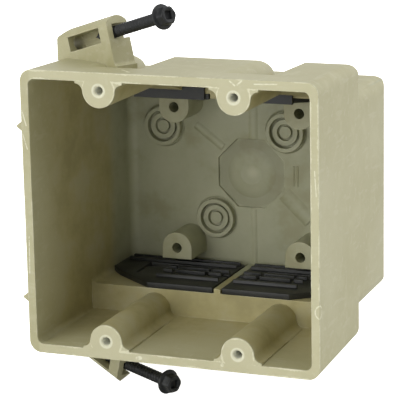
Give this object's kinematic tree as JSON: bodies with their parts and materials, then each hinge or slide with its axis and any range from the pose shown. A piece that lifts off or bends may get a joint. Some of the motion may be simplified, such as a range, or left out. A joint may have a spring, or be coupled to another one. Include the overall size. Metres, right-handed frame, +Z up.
{
  "type": "two-gang electrical box",
  "caption": "Moulded two-gang device box with angled captive mounting screws and snap-in cable clamps.",
  "frame": {"origin": "centre of the four device screw holes, in the plane of the front rim", "axes": "+X to the right across the gangs, +Y from the open front towards the back, +Z up; the opening faces -Y"},
  "size_m": [0.1035, 0.0794, 0.1306],
  "materials": {
    "box_body": "tan fibre-filled polyester, faint mottling, pale worn edges",
    "cable_clamp": "black moulded plastic with a soft sheen",
    "screw": "black phosphate-coated steel"
  },
  "bodies": {
    "box": {"box_body": "box_body", "cable_clamp_upper_left": "cable_clamp", "cable_clamp_upper_right": "cable_clamp", "cable_clamp_lower_left": "cable_clamp", "cable_clamp_lower_right": "cable_clamp"},
    "upper_screw": {"upper_mounting_screw": "screw"},
    "lower_screw": {"lower_mounting_screw": "screw"}
  },
  "joints": [
    {"name": "upper_screw_drive", "type": "slide", "parent": "box", "child": "upper_screw", "axis": [-0.8615, 0.422, -0.2823], "range_m": [0, 0.0222]},
    {"name": "lower_screw_drive", "type": "slide", "parent": "box", "child": "lower_screw", "axis": [-0.8959, 0.4389, 0.0692], "range_m": [0, 0.0185]}
  ]
}
